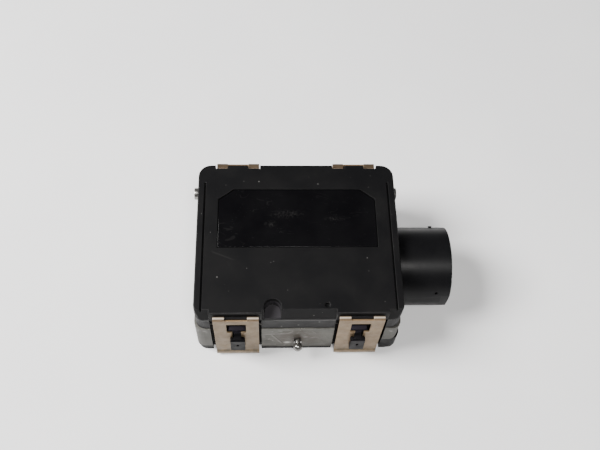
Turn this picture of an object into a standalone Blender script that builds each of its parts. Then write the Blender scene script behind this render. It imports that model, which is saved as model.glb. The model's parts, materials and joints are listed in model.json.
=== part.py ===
"""Driving distance sensor: a sealed box with a black front cover held by four spring clips.

The box lies on its rear cover. +X points to the electrical connector, +Y to the back edge,
+Z out of the front cover. The origin is the centre of the rear cover's flat outer face.
Sizes below are in millimetres; MM turns them into metres.
"""

import math

import bmesh
import bpy
from mathutils import Matrix, Vector

MM = 0.001
GAP = 0.3                     # clearance between pieces that touch

# Driving sizes
HEIGHT = 46.5
COVER_HALF = (49.0, 40.3)     # half width and half depth of the front cover
COVER_BOTTOM = 38.25
FRAME_HALF = (48.9, 40.4)
FRAME_BOTTOM = 28.2
HOUSING_HALF = (49.8, 40.9)
HOUSING_BOTTOM = 4.1
CORNER_RADIUS = 4.4
BACK_RADIUS = 6.2             # the two corners on the back edge are rounder
COVER_WALL = 6.2
COVER_FRONT_WALL = 8.8        # thicker, so that the notch in the front edge stays closed
SEAL_WIDTH = 1.6
SEAL_DEPTH = 1.5

PLATEAU_HALF = 45.1           # the raised middle of the cover ends at a groove on each side
GROOVE = (0.8, 1.6)           # width, depth
WINDOW = (-38.8, 38.8, -6.2, 26.05)
WINDOW_CHAMFER = (7.4, 5.6)
WINDOW_DEPTH = 0.15
SLOPE = (-39.9, -38.2)        # Y of the sloped front face at its foot and at its top
GROOVE_BACK = 30.0            # the grooves run from here to the front edge

SIDE_TOP = 13.0               # the rear cover's raised right side
SIDE_FACE = 50.9
SIDE_START = 40.7

CLIP_X = 29.4
CLIP_WIDTH = 21.3
CLIP_THICK = 0.9
CLIP_FACE = 42.8              # outer face of the clip plate from the middle of the box
CLIP_BOTTOM = 1.8
CLIP_FLARE = (5.0, 0.8)       # height where the lower lip starts to flare, and its reach
CLIP_TOP = 44.1
FINGER_WIDTH = 5.4
FINGER_END = {-1: 40.7, 1: 39.8}       # front clips, back clips
FINGER_NOTCH = (38.2, 0.5)    # inner wall of the back fingers' notches, and room beside them
POCKET_INNER = 1.2            # room beside the clip, towards the middle and towards the corner
POCKET_OUTER = 1.9
POCKET_FACE = 38.4
PIVOT_Z = 25.7                # a clip tilts about the top edge of its peg's head

PEG_X = 29.1
PEG_HEAD = (7.0, 2.3, 11.3, 25.1)      # width, depth, bottom, top
PEG_STEM = (3.4, 13.1, 23.9)           # width, bottom, top
PEG_TONGUE = (4.1, 40.9, 38.8, 22.9, 27.2)   # half width, front, back, bottom, top
PEG_MARK_Z = 18.1
PEG_MARK_TILT = 58.0                   # the small hole in the head runs this steeply upwards
SLOT_HALF = 2.1
SLOT_BOTTOM = 12.1
KEY_HALF = 4.6
KEY_RANGE = (28.6, 38.9)

CONNECTOR_AXIS = (-4.7, 21.2)          # Y, Z
CONNECTOR_RADIUS = 19.8
CONNECTOR_WALL = 2.4
CONNECTOR_START = 50.1
CONNECTOR_END = 75.4
SOCKET_FLOOR = 54.0
CARRIER_RADIUS = 8.7
GASKET_RADIUS = 12.6
LOCK_FLAT = 19.0              # distance of the lock's flat from the connector's axis
CONTACT_THICK = 0.8
LEG_BOTTOM = 16.9             # just above the processor board

PIN_RADIUS = 3.1
PIN_PLACE = (31.6, 32.5)               # Y, Z of the side pins
PIN_TIP = 52.0
BALL_RADIUS = 2.35
BALL_CENTRE = (0.2, -44.7, 13.7)

BOARD_THICK = 1.6
ANTENNA_Z = 35.4                       # underside of the antenna board
ANTENNA_HALF = (38.0, 29.0)
ANTENNA_SCREW = (35.0, 26.0)
PROCESSOR_Z = 15.0                     # underside of the processor board
PROCESSOR_ENDS = (-39.0, 34.0)         # X
PROCESSOR_HALF_Y = 29.5
PROCESSOR_SCREW_X = (-35.0, 28.0)
PROCESSOR_SCREW_Y = 25.5
REAR_SCREW_X = (-42.0, 36.5)
REAR_SCREW_Y = 33.0
POST_RADIUS = 3.1                      # the housing's screw posts
SCREW_RADIUS = 1.5
HOUSING_FLOOR = 3.2                    # thickness of the floor between the two boards


def clear_scene():
    for item in list(bpy.data.objects):
        bpy.data.objects.remove(item, do_unlink=True)


def new_collection(name):
    collection = bpy.data.collections.new(name)
    bpy.context.scene.collection.children.link(collection)
    return collection


def make_material(name, colour, roughness, metallic=0.0):
    material = bpy.data.materials.new(name)
    material.use_nodes = True
    shader = material.node_tree.nodes["Principled BSDF"]
    shader.inputs["Base Color"].default_value = (*colour, 1.0)
    shader.inputs["Roughness"].default_value = roughness
    shader.inputs["Metallic"].default_value = metallic
    return material


clear_scene()
PARTS = new_collection("distance_sensor")
CUTTERS = new_collection("cutters")
MATERIALS = {
    "cover_black": make_material("cover_black", (0.012, 0.012, 0.014), 0.55),
    "window_black": make_material("window_black", (0.004, 0.004, 0.005), 0.18),
    "frame_grey": make_material("frame_grey", (0.06, 0.062, 0.068), 0.5, 0.3),
    "cast_aluminium": make_material("cast_aluminium", (0.32, 0.32, 0.30), 0.5, 0.8),
    "rear_plastic": make_material("rear_plastic", (0.035, 0.036, 0.038), 0.5),
    "spring_steel": make_material("spring_steel", (0.46, 0.36, 0.26), 0.32, 0.9),
    "peg_plastic": make_material("peg_plastic", (0.03, 0.03, 0.034), 0.45),
    "bright_steel": make_material("bright_steel", (0.62, 0.61, 0.59), 0.22, 1.0),
    "seal_rubber": make_material("seal_rubber", (0.02, 0.02, 0.02), 0.8),
    "board_green": make_material("board_green", (0.02, 0.12, 0.06), 0.45),
    "chip_black": make_material("chip_black", (0.015, 0.015, 0.016), 0.5),
    "tinned_shield": make_material("tinned_shield", (0.5, 0.5, 0.48), 0.35, 0.9),
    "contact_gold": make_material("contact_gold", (0.75, 0.55, 0.22), 0.3, 1.0),
    "pad_blue": make_material("pad_blue", (0.25, 0.33, 0.42), 0.8),
    "membrane_white": make_material("membrane_white", (0.7, 0.7, 0.68), 0.8),
}


def place(name, bm, material=None, cutter=False):
    """Turn a bmesh in millimetres into an object in metres."""
    bmesh.ops.scale(bm, vec=(MM, MM, MM), verts=bm.verts)
    bmesh.ops.recalc_face_normals(bm, faces=bm.faces)
    mesh = bpy.data.meshes.new(name)
    bm.to_mesh(mesh)
    bm.free()
    item = bpy.data.objects.new(name, mesh)
    (CUTTERS if cutter else PARTS).objects.link(item)
    if cutter:
        item.hide_render = True
        item.display_type = "WIRE"
    else:
        mesh.materials.append(MATERIALS[material])
        mesh.shade_smooth()
        mesh.set_sharp_from_angle(angle=math.radians(35))
    return item


def block_mesh(low, high, radius=0.0, segments=5, edge=0.0, back_radius=None):
    """A box; radius rounds its upright edges and edge bevels its top rim."""
    bm = bmesh.new()
    bmesh.ops.create_cube(bm, size=1.0)
    size = [high[axis] - low[axis] for axis in range(3)]
    middle = [(high[axis] + low[axis]) / 2 for axis in range(3)]
    bmesh.ops.scale(bm, vec=size, verts=bm.verts)
    bmesh.ops.translate(bm, vec=middle, verts=bm.verts)
    if radius:
        for back, size in ((False, radius), (True, back_radius or radius)):
            upright = [e for e in bm.edges if abs(e.verts[0].co.z - e.verts[1].co.z) > 1e-6
                       and (e.verts[0].co.y > middle[1]) == back]
            bmesh.ops.bevel(bm, geom=upright, offset=size, offset_type="OFFSET",
                            segments=segments, profile=0.5, affect="EDGES")
    if edge:
        rim = [e for e in bm.edges if all(abs(v.co.z - high[2]) < 1e-5 for v in e.verts)]
        bmesh.ops.bevel(bm, geom=rim, offset=edge, offset_type="OFFSET",
                        segments=1, profile=0.5, affect="EDGES")
    return bm


def rod_mesh(radius, start, end, segments=24):
    """A cylinder between two points."""
    start, end = Vector(start), Vector(end)
    direction = end - start
    bm = bmesh.new()
    bmesh.ops.create_cone(bm, cap_ends=True, segments=segments, radius1=radius,
                          radius2=radius, depth=direction.length)
    turn = Vector((0, 0, 1)).rotation_difference(direction).to_matrix().to_4x4()
    bmesh.ops.transform(bm, matrix=Matrix.Translation((start + end) / 2) @ turn, verts=bm.verts)
    return bm


def outline_mesh(points, low_z, high_z):
    """A flat outline in X and Y, raised from low_z to high_z."""
    bm = bmesh.new()
    face = bm.faces.new([bm.verts.new((x, y, low_z)) for x, y in points])
    raised = bmesh.ops.extrude_face_region(bm, geom=[face])
    moved = [v for v in raised["geom"] if isinstance(v, bmesh.types.BMVert)]
    bmesh.ops.translate(bm, vec=(0, 0, high_z - low_z), verts=moved)
    return bm


def profile_mesh(points, low_x, high_x):
    """A flat outline in Y and Z, run from low_x to high_x."""
    bm = outline_mesh(points, low_x, high_x)
    turn = Matrix(((0, 0, 1, 0), (1, 0, 0, 0), (0, 1, 0, 0), (0, 0, 0, 1)))
    bmesh.ops.transform(bm, matrix=turn, verts=bm.verts)
    return bm


def block(name, low, high, material=None, cutter=False, **shape):
    return place(name, block_mesh(low, high, **shape), material, cutter)


def rod(name, radius, start, end, material=None, cutter=False, **shape):
    return place(name, rod_mesh(radius, start, end, **shape), material, cutter)


def slab(name, half, low_z, high_z, material=None, cutter=False, radius=CORNER_RADIUS, **shape):
    """A block centred on the origin, with rounded upright corners."""
    return block(name, (-half[0], -half[1], low_z), (half[0], half[1], high_z),
                 material, cutter, radius=radius, **shape)


def combine(item, tool, operation):
    modifier = item.modifiers.new(f"{operation.lower()}_{tool.name}"[:60], "BOOLEAN")
    modifier.operation = operation
    modifier.solver = "EXACT"
    modifier.object = tool


def cut(item, *tools):
    for tool in tools:
        combine(item, tool, "DIFFERENCE")


def fuse(item, *tools):
    for tool in tools:
        combine(item, tool, "UNION")


def clip_places():
    """The four clips: name, sign of X and sign of Y."""
    for row, side_y in (("front", -1), ("back", 1)):
        for column, side_x in (("left", -1), ("right", 1)):
            yield f"{row}_{column}", side_x, side_y


def spread(first, second):
    return min(first, second), max(first, second)


def clip_pocket(name, side_x, side_y, face, low_z, high_z):
    """The space in a wall that a clip lies in."""
    inner = side_x * (CLIP_X - CLIP_WIDTH / 2 - POCKET_INNER)
    outer = side_x * (CLIP_X + CLIP_WIDTH / 2 + POCKET_OUTER)
    low_x, high_x = spread(inner, outer)
    low_y, high_y = spread(side_y * face, side_y * (CLIP_FACE + 5))
    return block(name, (low_x, low_y, low_z), (high_x, high_y, high_z), cutter=True)


def build_cover():
    """Front cover: a plateau between two grooves, hollow below, with notches for the clips."""
    cover = slab("front_cover", COVER_HALF, COVER_BOTTOM, HEIGHT, "cover_black", edge=0.4,
                 back_radius=BACK_RADIUS)
    inner_x, inner_y = COVER_HALF[0] - COVER_WALL, COVER_HALF[1] - COVER_WALL
    cut(cover, block("cover_hollow", (-inner_x, COVER_FRONT_WALL - COVER_HALF[1], COVER_BOTTOM - 5),
                     (inner_x, inner_y, HEIGHT - 3.2), cutter=True, radius=2.0))
    for side_x in (-1, 1):
        low_x, high_x = spread(side_x * PLATEAU_HALF, side_x * (PLATEAU_HALF + GROOVE[0]))
        cut(cover, block(f"groove_{side_x}", (low_x, -COVER_HALF[1] - 1, HEIGHT - GROOVE[1]),
                         (high_x, GROOVE_BACK, HEIGHT + 2), cutter=True))
    cut(cover, window_cutter())
    cut(cover, *front_slopes())
    cut(cover, notch_cutter(), rod("pit", 1.3, (13.2, -36.2, HEIGHT - 1.5),
                                   (13.2, -36.2, HEIGHT + 2), cutter=True, segments=16))
    for name, side_x, side_y in clip_places():
        ledge_low, ledge_high = spread(side_y * (COVER_HALF[1] - 0.5), side_y * 41.5)
        low_x, high_x = spread(side_x * (CLIP_X - 10.4), side_x * (CLIP_X + 10.4))
        fuse(cover, block(f"ledge_{name}", (low_x, ledge_low, COVER_BOTTOM + 0.6),
                          (high_x, ledge_high, CLIP_TOP - CLIP_THICK - 0.2), cutter=True))
    for name, side_x, side_y in clip_places():
        if side_y > 0:
            cut(cover, *finger_notches(name, side_x))


def finger_notches(name, side_x):
    """Notches in the cover's back edge that a back clip's two fingers drop into."""
    wall, room = FINGER_NOTCH
    for hand, near, far in finger_spans(side_x * CLIP_X):
        yield block(f"finger_notch_{name}_{hand}", (near - room, wall, CLIP_TOP - CLIP_THICK - 0.2),
                    (far + room, COVER_HALF[1] + 5, HEIGHT + 2), cutter=True)


def finger_spans(x):
    """Which finger, and its lowest and highest X."""
    half = CLIP_WIDTH / 2
    for hand in (-1, 1):
        yield hand, *spread(x + hand * half, x + hand * (half - FINGER_WIDTH))


def front_slopes():
    """Wedges that slope the front edge back, between the clips and beside the grooves."""
    inner = CLIP_X - CLIP_WIDTH / 2 - POCKET_INNER
    outer = CLIP_X + CLIP_WIDTH / 2 + POCKET_OUTER
    foot, top = SLOPE
    profile = [(foot, COVER_BOTTOM - 1.0), (-COVER_HALF[1] - 3, COVER_BOTTOM - 1.0),
               (-COVER_HALF[1] - 3, HEIGHT + 3), (top, HEIGHT + 3), (top, HEIGHT),
               (foot, COVER_BOTTOM + 1.0)]
    for name, start, end in (("middle", -inner, inner), ("left", -COVER_HALF[0] - 1, -outer),
                             ("right", outer, COVER_HALF[0] + 1)):
        yield place(f"front_slope_{name}", profile_mesh(profile, start, end), cutter=True)


def window_outline(margin=0.0):
    left, right, front, back = WINDOW
    cut_x, cut_y = WINDOW_CHAMFER
    left, right = left + margin, right - margin
    front, back = front + margin, back - margin
    return [(left, front), (right, front), (right, back - cut_y), (right - cut_x, back),
            (left + cut_x, back), (left, back - cut_y)]


def window_cutter():
    return place("window_recess", outline_mesh(window_outline(), HEIGHT - 1.6, HEIGHT + 2),
                 cutter=True)


def notch_cutter():
    """A round-ended notch through the cover's front edge."""
    centre, radius, top = -12.3, 4.0, -32.7
    arc = [(centre + radius * math.cos(turn), top - radius + radius * math.sin(turn))
           for turn in (math.pi * step / 10 for step in range(11))]
    points = [(centre + radius, -45.0)] + arc + [(centre - radius, -45.0)]
    return place("edge_notch", outline_mesh(points, COVER_BOTTOM + 1.4, HEIGHT + 2), cutter=True)


def build_window():
    outline = outline_mesh(window_outline(GAP), HEIGHT - 1.3, HEIGHT - WINDOW_DEPTH)
    place("window_panel", outline, "window_black")


def ring(name, half, width, low_z, high_z, material=None, cutter=False, radius=2.4):
    """A flat rectangular frame with rounded corners."""
    item = slab(name, half, low_z, high_z, material, cutter, radius=radius, segments=4)
    inner = (half[0] - width, half[1] - width)
    cut(item, slab(f"{name}_hole", inner, low_z - 1, high_z + 1, cutter=True,
                   radius=radius - width * 0.6, segments=4))
    return item


def build_upper_frame():
    """Dark frame under the cover, with a seat for the cover's seal and the clip pockets."""
    top = COVER_BOTTOM - GAP
    frame = slab("upper_frame", FRAME_HALF, FRAME_BOTTOM + GAP, top, "frame_grey",
                 back_radius=BACK_RADIUS)
    inner = (FRAME_HALF[0] - 6.5, FRAME_HALF[1] - 6.5)
    cut(frame, slab("frame_hollow", inner, FRAME_BOTTOM - 2, top + 2, cutter=True, radius=3.0))
    for name, side_x, side_y in clip_places():
        cut(frame, clip_pocket(f"frame_pocket_{name}", side_x, side_y, POCKET_FACE - 0.4,
                               FRAME_BOTTOM - 2, top + 2))
    seal_half = (FRAME_HALF[0] - 3.0, FRAME_HALF[1] - 3.0)
    cut(frame, ring("cover_seal_groove", seal_half, SEAL_WIDTH + 2 * GAP,
                    top - SEAL_DEPTH, top + 1, cutter=True))
    ring("cover_seal", (seal_half[0] - GAP, seal_half[1] - GAP), SEAL_WIDTH,
         top - SEAL_DEPTH + GAP, top, "seal_rubber", radius=2.2)
    for side_x in (-1, 1):
        low_x, high_x = spread(side_x * 44.0, side_x * 60.0)
        cut(frame, rod(f"frame_pin_hole_{side_x}", PIN_RADIUS - 0.8 + GAP,
                       (low_x, *PIN_PLACE), (high_x, *PIN_PLACE), cutter=True))


def build_housing():
    """Die-cast tub, open to the rear, with a floor under the upper frame."""
    top = FRAME_BOTTOM
    housing = slab("lower_housing", HOUSING_HALF, HOUSING_BOTTOM, top, "cast_aluminium",
                   back_radius=BACK_RADIUS)
    floor = top - HOUSING_FLOOR
    inner = (HOUSING_HALF[0] - 4.5, HOUSING_HALF[1] - 6.0)
    cut(housing, slab("housing_hollow", inner, HOUSING_BOTTOM - 2, floor, cutter=True,
                      radius=4.0))
    for name, x, y in antenna_screw_places():
        add_post(housing, name, x, y, floor + 1, ANTENNA_Z - GAP)
    for name, x, y in board_screw_places():
        add_post(housing, name, x, y, floor + 1, PROCESSOR_Z + BOARD_THICK + GAP)
    for name, x, y in rear_screw_places():
        add_post(housing, name, x, y, floor + 1, HOUSING_BOTTOM)
    for name, side_x, side_y in clip_places():
        cut(housing, clip_pocket(f"housing_pocket_{name}", side_x, side_y, POCKET_FACE,
                                 HOUSING_BOTTOM - 2, top + 2))
        low_y, high_y = spread(side_y * 30.0, side_y * 45.0)
        width, bottom, high = PEG_STEM
        cut(housing, block(f"peg_hole_{name}",
                           (side_x * PEG_X - width / 2 - GAP, low_y, bottom - GAP),
                           (side_x * PEG_X + width / 2 + GAP, high_y, high + GAP), cutter=True))
    cut(housing, block("rear_side_seat", (SIDE_START - GAP, -45, -1), (60, 45, SIDE_TOP + GAP),
                       cutter=True))
    y, z = CONNECTOR_AXIS
    cut(housing, block("connector_passage", (40, y - 6.8, z - 4.3), (60, y + 6.8, z + 4.3),
                       cutter=True))
    cut(housing, rod("stud_hole", 1.5 + GAP, (BALL_CENTRE[0], -45, BALL_CENTRE[2]),
                     (BALL_CENTRE[0], -30, BALL_CENTRE[2]), cutter=True, segments=16))


def add_post(housing, name, x, y, root_z, end_z):
    """A screw post on the housing's floor, with a blind hole from its end."""
    fuse(housing, rod(f"{name}_post", POST_RADIUS, (x, y, root_z), (x, y, end_z), cutter=True))
    away = math.copysign(1.0, end_z - root_z)
    depth = min(9.0, abs(end_z - root_z) - 0.6)
    cut(housing, rod(f"{name}_post_hole", SCREW_RADIUS + GAP, (x, y, end_z - away * depth),
                     (x, y, end_z + away), cutter=True, segments=12))


def build_rear_cover():
    """Plastic rear cover with a raised right side that carries the connector."""
    half = (HOUSING_HALF[0] - 0.5, HOUSING_HALF[1] - 0.5)
    cover = slab("rear_cover", half, 0.0, HOUSING_BOTTOM - GAP, "rear_plastic",
                 back_radius=BACK_RADIUS)
    side = slab("rear_side", (SIDE_FACE, half[1]), 0.5, SIDE_TOP, cutter=True,
                back_radius=BACK_RADIUS)
    cut(side, block("rear_side_limit", (-60, -60, -5), (SIDE_START, 60, 30), cutter=True))
    fuse(cover, side)
    cut(cover, block("rear_side_hollow", (35.0, -32.0, HOUSING_BOTTOM - GAP - 0.05),
                     (46.5, 32.0, 20.0), cutter=True))
    cut(cover, rod("shroud_seat", CONNECTOR_RADIUS + GAP, (CONNECTOR_START - GAP, *CONNECTOR_AXIS),
                   (60.0, *CONNECTOR_AXIS), cutter=True, segments=40))
    for name, side_x, side_y in clip_places():
        cut(cover, clip_pocket(f"rear_pocket_{name}", side_x, side_y, POCKET_FACE, -1,
                               SIDE_TOP + 1))
    cut(cover, rod("breather_seat", 4.3, (-30, 12, -1), (-30, 12, 1.6), cutter=True),
        rod("breather_hole", 1.5, (-30, 12, -1), (-30, 12, 8), cutter=True, segments=16))
    for name, x, y in rear_screw_places():
        cut(cover, rod(f"{name}_seat", 3.4, (x, y, -1), (x, y, 1.9), cutter=True),
            rod(f"{name}_hole", 1.9, (x, y, -1), (x, y, 15), cutter=True, segments=16))


def screw_places(name, ends_x, half_y):
    """Name, X and Y of four screws."""
    for row, y in (("front", -half_y), ("back", half_y)):
        for column, x in zip(("left", "right"), ends_x):
            yield f"{name}_{row}_{column}", x, y


def rear_screw_places():
    return screw_places("rear_screw", REAR_SCREW_X, REAR_SCREW_Y)


def board_screw_places():
    return screw_places("board_screw", PROCESSOR_SCREW_X, PROCESSOR_SCREW_Y)


def antenna_screw_places():
    half_x, half_y = ANTENNA_SCREW
    return screw_places("antenna_screw", (-half_x, half_x), half_y)


def build_clip(name, side_x, side_y):
    """Spring clip: a flat plate with a keyhole, and two fingers bent over the cover's edge."""
    x = side_x * CLIP_X
    half = CLIP_WIDTH / 2
    low_y, high_y = spread(side_y * (CLIP_FACE - CLIP_THICK), side_y * CLIP_FACE)
    flare_start, flare_reach = CLIP_FLARE
    clip = block(f"spring_clip_{name}", (x - half, low_y, flare_start),
                 (x + half, high_y, CLIP_TOP), "spring_steel")
    inside, outside = side_y * (CLIP_FACE - CLIP_THICK), side_y * CLIP_FACE
    reach = side_y * flare_reach
    lip = [(inside, flare_start + 0.4), (inside, flare_start), (inside + reach, CLIP_BOTTOM),
           (outside + reach, CLIP_BOTTOM), (outside, flare_start), (outside, flare_start + 0.4)]
    fuse(clip, place(f"lip_{name}", profile_mesh(lip, x - half, x + half), cutter=True))
    middle = half - FINGER_WIDTH
    cut(clip, block(f"top_notch_{name}", (x - middle, low_y - 1, CLIP_TOP - CLIP_THICK),
                    (x + middle, high_y + 1, CLIP_TOP + 1), cutter=True))
    low_y, high_y = spread(side_y * FINGER_END[side_y], side_y * (CLIP_FACE - CLIP_THICK / 2))
    for hand, low_x, high_x in finger_spans(x):
        fuse(clip, block(f"finger_{name}_{hand}", (low_x, low_y, CLIP_TOP - CLIP_THICK),
                         (high_x, high_y, CLIP_TOP), cutter=True))
    low_y, high_y = spread(side_y * (CLIP_FACE - 4), side_y * (CLIP_FACE + 4))
    cut(clip, block(f"keyhole_{name}", (x - KEY_HALF, low_y, KEY_RANGE[0]),
                    (x + KEY_HALF, high_y, KEY_RANGE[1]), cutter=True),
        block(f"slot_{name}", (x - SLOT_HALF, low_y, SLOT_BOTTOM),
              (x + SLOT_HALF, high_y, KEY_RANGE[0] + 1), cutter=True))
    pivot = bpy.data.objects.new(f"pivot_{name}", None)
    PARTS.objects.link(pivot)
    pivot.location = (x * MM, side_y * CLIP_FACE * MM, PIVOT_Z * MM)
    clip.parent = pivot
    clip.matrix_parent_inverse = Matrix.Translation(-pivot.location)


def build_peg(name, side_x, side_y):
    """Plastic peg: a stem through the clip's slot, a head outside and a tongue behind it."""
    x = side_x * PEG_X
    width, depth, bottom, top = PEG_HEAD
    near = CLIP_FACE + GAP
    low_y, high_y = spread(side_y * near, side_y * (near + depth))
    peg = block(f"clip_peg_{name}", (x - width / 2, low_y, bottom), (x + width / 2, high_y, top),
                "peg_plastic", edge=1.9)
    stem_width, stem_bottom, stem_top = PEG_STEM
    low_y, high_y = spread(side_y * 32.5, side_y * (near + 0.5))
    fuse(peg, block(f"peg_stem_{name}", (x - stem_width / 2, low_y, stem_bottom),
                    (x + stem_width / 2, high_y, stem_top), cutter=True))
    half, front, back, tongue_bottom, tongue_top = PEG_TONGUE
    low_y, high_y = spread(side_y * front, side_y * back)
    fuse(peg, block(f"peg_tongue_{name}", (x - half, low_y, tongue_bottom),
                    (x + half, high_y, tongue_top), cutter=True))
    steep = math.radians(PEG_MARK_TILT)
    run = Vector((0, side_y * math.cos(steep), math.sin(steep)))
    mouth = Vector((x, side_y * (near + depth), PEG_MARK_Z))
    cut(peg, rod(f"peg_mark_{name}", 0.7, mouth - run * 2.0, mouth + run * 3.0, cutter=True,
                 segments=12))


def build_ball_stud():
    """Ball stud for the aiming screw: shank, collar, neck and ball, turned about Y."""
    radius = BALL_RADIUS
    neck_radius = 1.3
    neck = math.asin(neck_radius / radius)
    ball = [(radius * math.sin(turn), radius * math.cos(turn))
            for turn in ((math.pi - neck) * step / 9 for step in range(10))]
    profile = [(0.0, radius)] + ball[1:] + [(neck_radius, -2.3), (2.0, -2.3), (2.0, -3.5),
                                            (neck_radius, -3.5), (neck_radius, -11.0),
                                            (0.0, -11.0)]
    mesh = bpy.data.meshes.new("ball_stud")
    mesh.from_pydata([(r * MM, 0, z * MM) for r, z in profile],
                     [(i, i + 1) for i in range(len(profile) - 1)], [])
    stud = bpy.data.objects.new("ball_stud", mesh)
    PARTS.objects.link(stud)
    stud.location = Vector(BALL_CENTRE) * MM
    stud.rotation_euler = (math.radians(90), 0, 0)
    mesh.materials.append(MATERIALS["bright_steel"])
    turned = stud.modifiers.new("turned", "SCREW")
    turned.steps = turned.render_steps = 20
    turned.use_merge_vertices = True
    turned.merge_threshold = 0.00001


def build_side_pin(name, side_x):
    """Pivot pin of the aiming bracket, pressed into the upper frame."""
    tip, face = side_x * PIN_TIP, side_x * (FRAME_HALF[0] + GAP)
    pin = rod(f"side_pin_{name}", PIN_RADIUS, (face, *PIN_PLACE), (tip, *PIN_PLACE),
              "bright_steel")
    fuse(pin, rod(f"pin_shank_{name}", PIN_RADIUS - 0.8, (side_x * 44.5, *PIN_PLACE),
                  (side_x * (PIN_TIP - 1), *PIN_PLACE), cutter=True))


def build_connector():
    """Round connector shroud, the carrier of its contacts, the contacts and a gasket."""
    y, z = CONNECTOR_AXIS
    shroud = rod("connector_shroud", CONNECTOR_RADIUS, (CONNECTOR_START, y, z),
                 (CONNECTOR_END, y, z), "rear_plastic", segments=40)
    socket = CONNECTOR_RADIUS - CONNECTOR_WALL
    cut(shroud, rod("socket", socket, (SOCKET_FLOOR, y, z), (CONNECTOR_END + 5, y, z),
                    cutter=True, segments=40),
        rod("carrier_hole", CARRIER_RADIUS + GAP, (40, y, z), (60, y, z), cutter=True),
        rod("gasket_seat", GASKET_RADIUS + GAP, (40, y, z), (CONNECTOR_START + 1.2, y, z),
            cutter=True))
    fuse(shroud, rod("index_nub", 0.9, radial_point(68.0, 33.0, 17.8),
                     radial_point(68.0, 33.0, CONNECTOR_RADIUS + 0.7), cutter=True, segments=12))
    cut(shroud, rod("lock_hole", 0.8, radial_point(68.4, 158.0, 14.0),
                    radial_point(68.4, 158.0, 25.0), cutter=True, segments=12),
        block("lock_flat", (71.2, y - 30, z - 9), (CONNECTOR_END + 5, y - LOCK_FLAT, z + 9),
              cutter=True))
    build_contacts()
    gasket = rod("connector_gasket", GASKET_RADIUS, (CONNECTOR_START, y, z),
                 (CONNECTOR_START + 0.9, y, z), "seal_rubber")
    cut(gasket, rod("gasket_hole", CARRIER_RADIUS + GAP, (48, y, z), (53, y, z), cutter=True))


def radial_point(x, degrees, radius):
    """A point round the connector's axis; 0 degrees is +Y and 90 is +Z."""
    y, z = CONNECTOR_AXIS
    turn = math.radians(degrees)
    return x, y + radius * math.cos(turn), z + radius * math.sin(turn)


def build_contacts():
    """Bent contacts in a carrier that reaches through the housing wall."""
    y, z = CONNECTOR_AXIS
    carrier = rod("contact_carrier", CARRIER_RADIUS, (CONNECTOR_START, y, z),
                  (SOCKET_FLOOR + 4.0, y, z), "peg_plastic")
    fuse(carrier, block("carrier_body", (43.5, y - 6.5, z - 4), (SOCKET_FLOOR, y + 6.5, z + 4),
                        cutter=True))
    half = CONTACT_THICK / 2
    for index, (py, pz, leg_x) in enumerate(contact_places(), start=1):
        cut(carrier, block(f"contact_hole_{index}", (40, py - half - GAP, pz - half - GAP),
                           (70, py + half + GAP, pz + half + GAP), cutter=True))
        contact = block(f"contact_{index}", (leg_x - half, py - half, pz - half),
                        (SOCKET_FLOOR + 13.0, py + half, pz + half), "contact_gold")
        fuse(contact, block(f"contact_leg_{index}", (leg_x - half, py - half, LEG_BOTTOM),
                            (leg_x + half, py + half, pz), cutter=True))


def contact_places():
    """Y and Z of each contact, and the X of its leg to the board."""
    y, z = CONNECTOR_AXIS
    for row, leg_x in ((-1, 32.0), (1, 29.5)):
        for step in range(4):
            yield y + (step - 1.5) * 2.9, z + row * 2.2, leg_x


def build_electronics():
    """Antenna board, shield, processor board, their chips, header, pad and screws."""
    half_x, half_y = ANTENNA_HALF
    under = ANTENNA_Z - GAP
    antenna = block("antenna_board", (-half_x, -half_y, ANTENNA_Z),
                    (half_x, half_y, ANTENNA_Z + BOARD_THICK), "board_green")
    shield = block("antenna_shield", (-28, -22, 30.2), (28, 22, under), "tinned_shield")
    cut(shield, block("shield_hollow", (-27, -21, 31.2), (27, 21, ANTENNA_Z + 3), cutter=True))
    block("radio_chip", (-6, -6, under - 1.4), (6, 6, under), "chip_black")
    for name, x, y in antenna_screw_places():
        cut(antenna, rod(f"{name}_clearance", SCREW_RADIUS + 0.4, (x, y, ANTENNA_Z - 2),
                         (x, y, ANTENNA_Z + 4), cutter=True, segments=12))
        build_screw(name, x, y, ANTENNA_Z + BOARD_THICK + GAP, 6.0, 2.8, direction=-1)
    over = PROCESSOR_Z + BOARD_THICK + GAP
    left, right = PROCESSOR_ENDS
    processor = block("processor_board", (left, -PROCESSOR_HALF_Y, PROCESSOR_Z),
                      (right, PROCESSOR_HALF_Y, PROCESSOR_Z + BOARD_THICK), "board_green")
    block("processor_chip", (-20, -9, over), (-2, 9, over + 2.3), "chip_black")
    block("thermal_pad", (-19, -8, over + 2.6),
          (-3, 8, FRAME_BOTTOM - HOUSING_FLOOR - GAP), "pad_blue")
    block("board_header", (2, 20, over), (20, 25, 23.0), "chip_black")
    for name, x, y in board_screw_places():
        cut(processor, rod(f"{name}_clearance", SCREW_RADIUS + 0.4, (x, y, PROCESSOR_Z - 4),
                           (x, y, PROCESSOR_Z + 4), cutter=True, segments=12))
        build_screw(name, x, y, PROCESSOR_Z - GAP, 8.0, 2.8, direction=1)


def build_screw(name, x, y, seat_z, length, head_radius, direction):
    """A screw whose head's underside is at seat_z and whose shank runs along direction."""
    head = rod(name, head_radius, (x, y, seat_z), (x, y, seat_z - direction * 1.6),
               "bright_steel", segments=16)
    fuse(head, rod(f"{name}_shank", SCREW_RADIUS, (x, y, seat_z - direction * 0.8),
                   (x, y, seat_z + direction * length), cutter=True, segments=12))
    cut(head, rod(f"{name}_drive", 1.1, (x, y, seat_z - direction * 0.8),
                  (x, y, seat_z - direction * 3.0), cutter=True, segments=6))


def build_rear_fittings():
    """Breather and the screws of the rear cover."""
    rod("breather_membrane", 4.0, (-30, 12, 0.7), (-30, 12, 1.2), "membrane_white")
    for name, x, y in rear_screw_places():
        build_screw(name, x, y, 1.7, 9.0, 3.0, direction=1)


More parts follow.
